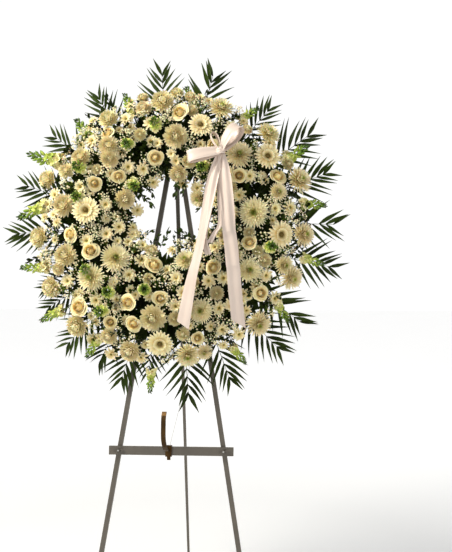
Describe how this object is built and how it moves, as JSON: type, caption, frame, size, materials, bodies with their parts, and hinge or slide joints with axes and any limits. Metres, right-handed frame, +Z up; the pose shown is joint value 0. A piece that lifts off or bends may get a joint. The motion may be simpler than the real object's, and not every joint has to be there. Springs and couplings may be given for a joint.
{
  "type": "funeral wreath on easel",
  "caption": "Standing funeral wreath of cream flowers and palm fronds on a foam ring, with a satin bow, hung on a folding tripod easel.",
  "frame": {"origin": "on the floor, under the middle of the whole box", "axes": "+X to the wreath's right as seen by a viewer in front, +Y to the back, +Z up; the wreath faces -Y and leans back"},
  "size_m": [1.1726, 0.7126, 1.9598],
  "materials": {
    "painted_steel": "dull grey paint, semi matt",
    "bright_steel": "plated, slightly worn",
    "bronze": "dark bronze, satin",
    "rubber": "matt",
    "tray_plastic": "matt dark green",
    "floral_foam": "soft, open-celled",
    "leaf": "satin leaf",
    "petal": "soft, velvety",
    "satin_ribbon": "satin"
  },
  "bodies": {
    "frame": {"backing_tray": "tray_plastic", "hanging_wire": "bright_steel", "foam_ring": "floral_foam", "greens_01": "leaf", "greens_02": "leaf", "greens_03": "leaf", "greens_04": "leaf", "greens_05": "leaf", "greens_06": "leaf", "greens_07": "leaf", "greens_08": "leaf", "greens_09": "leaf", "greens_10": "leaf", "greens_11": "leaf", "greens_12": "leaf", "blooms_01": "petal", "blooms_02": "petal", "blooms_03": "petal", "blooms_04": "petal", "blooms_05": "petal", "blooms_06": "petal", "blooms_07": "petal", "blooms_08": "petal", "blooms_09": "petal", "blooms_10": "petal", "blooms_11": "petal", "blooms_12": "petal", "ribbon_bow": "satin_ribbon", "ribbon_tail_left": "satin_ribbon", "ribbon_tail_right": "satin_ribbon", "front_leg_left": "painted_steel", "foot_cap_left": "rubber", "crossbar_bolt_left": "bright_steel", "wing_nut_left": "bright_steel", "front_leg_right": "painted_steel", "foot_cap_right": "rubber", "crossbar_bolt_right": "bright_steel", "wing_nut_right": "bright_steel", "crossbar": "painted_steel", "head_bracket": "painted_steel", "hinge_pin": "bright_steel", "cradle_hook": "bronze", "tie_wire": "bright_steel"},
    "rear_leg": {"rear_leg": "painted_steel", "foot_cap_rear": "rubber"}
  },
  "joints": [
    {"name": "rear_leg_hinge", "type": "hinge", "parent": "frame", "child": "rear_leg", "pos_m": [-0.01208, -0.01153, 1.62656], "axis": [1, 0, 0], "range_deg": [-22, 0]}
  ]
}
